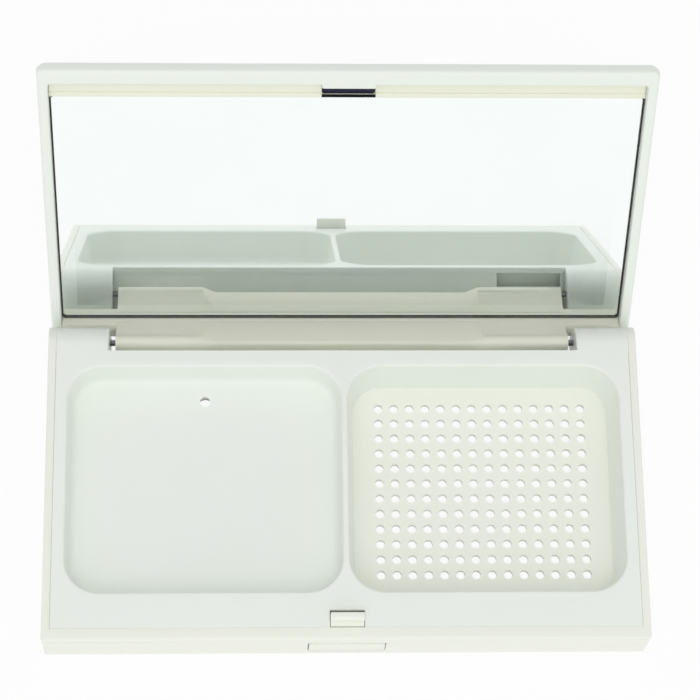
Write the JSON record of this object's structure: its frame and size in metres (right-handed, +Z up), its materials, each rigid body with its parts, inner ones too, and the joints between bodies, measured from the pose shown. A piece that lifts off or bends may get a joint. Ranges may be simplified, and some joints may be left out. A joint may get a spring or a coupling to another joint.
{
  "type": "powder compact",
  "caption": "Flat rectangular powder compact with a pan well, a vented puff well, a hinged mirror lid and a push-button latch.",
  "frame": {"origin": "centre of the base's underside, on the surface that it rests on", "axes": "+X along the width, +Y from the latch at the front to the hinge at the rear, +Z up"},
  "size_m": [0.112, 0.0966, 0.0558],
  "materials": {
    "shell_plastic": "gloss",
    "frame_plastic": "gloss",
    "lid_plastic": "gloss",
    "inner_lid_plastic": "gloss",
    "pin_steel": "satin",
    "mirror_silver": "polished",
    "tape": "matte"
  },
  "bodies": {
    "base": {"base_shell": "shell_plastic", "inner_frame": "frame_plastic", "hinge_pin_left": "pin_steel", "hinge_pin_right": "pin_steel"},
    "latch": {"latch_button": "shell_plastic"},
    "lid": {"lid_cover": "lid_plastic", "lid_frame": "inner_lid_plastic", "mirror_tape": "tape", "mirror_glass": "mirror_silver"}
  },
  "joints": [
    {"name": "lid_hinge", "type": "hinge", "parent": "base", "child": "lid", "pos_m": [0, 0.0284, 0.0062], "axis": [1, 0, 0], "range_deg": [0, 119.36]},
    {"name": "latch_press", "type": "slide", "parent": "base", "child": "latch", "axis": [0, 1, 0], "range_m": [0, 0.0008], "stiffness_N_per_m": 2000}
  ]
}
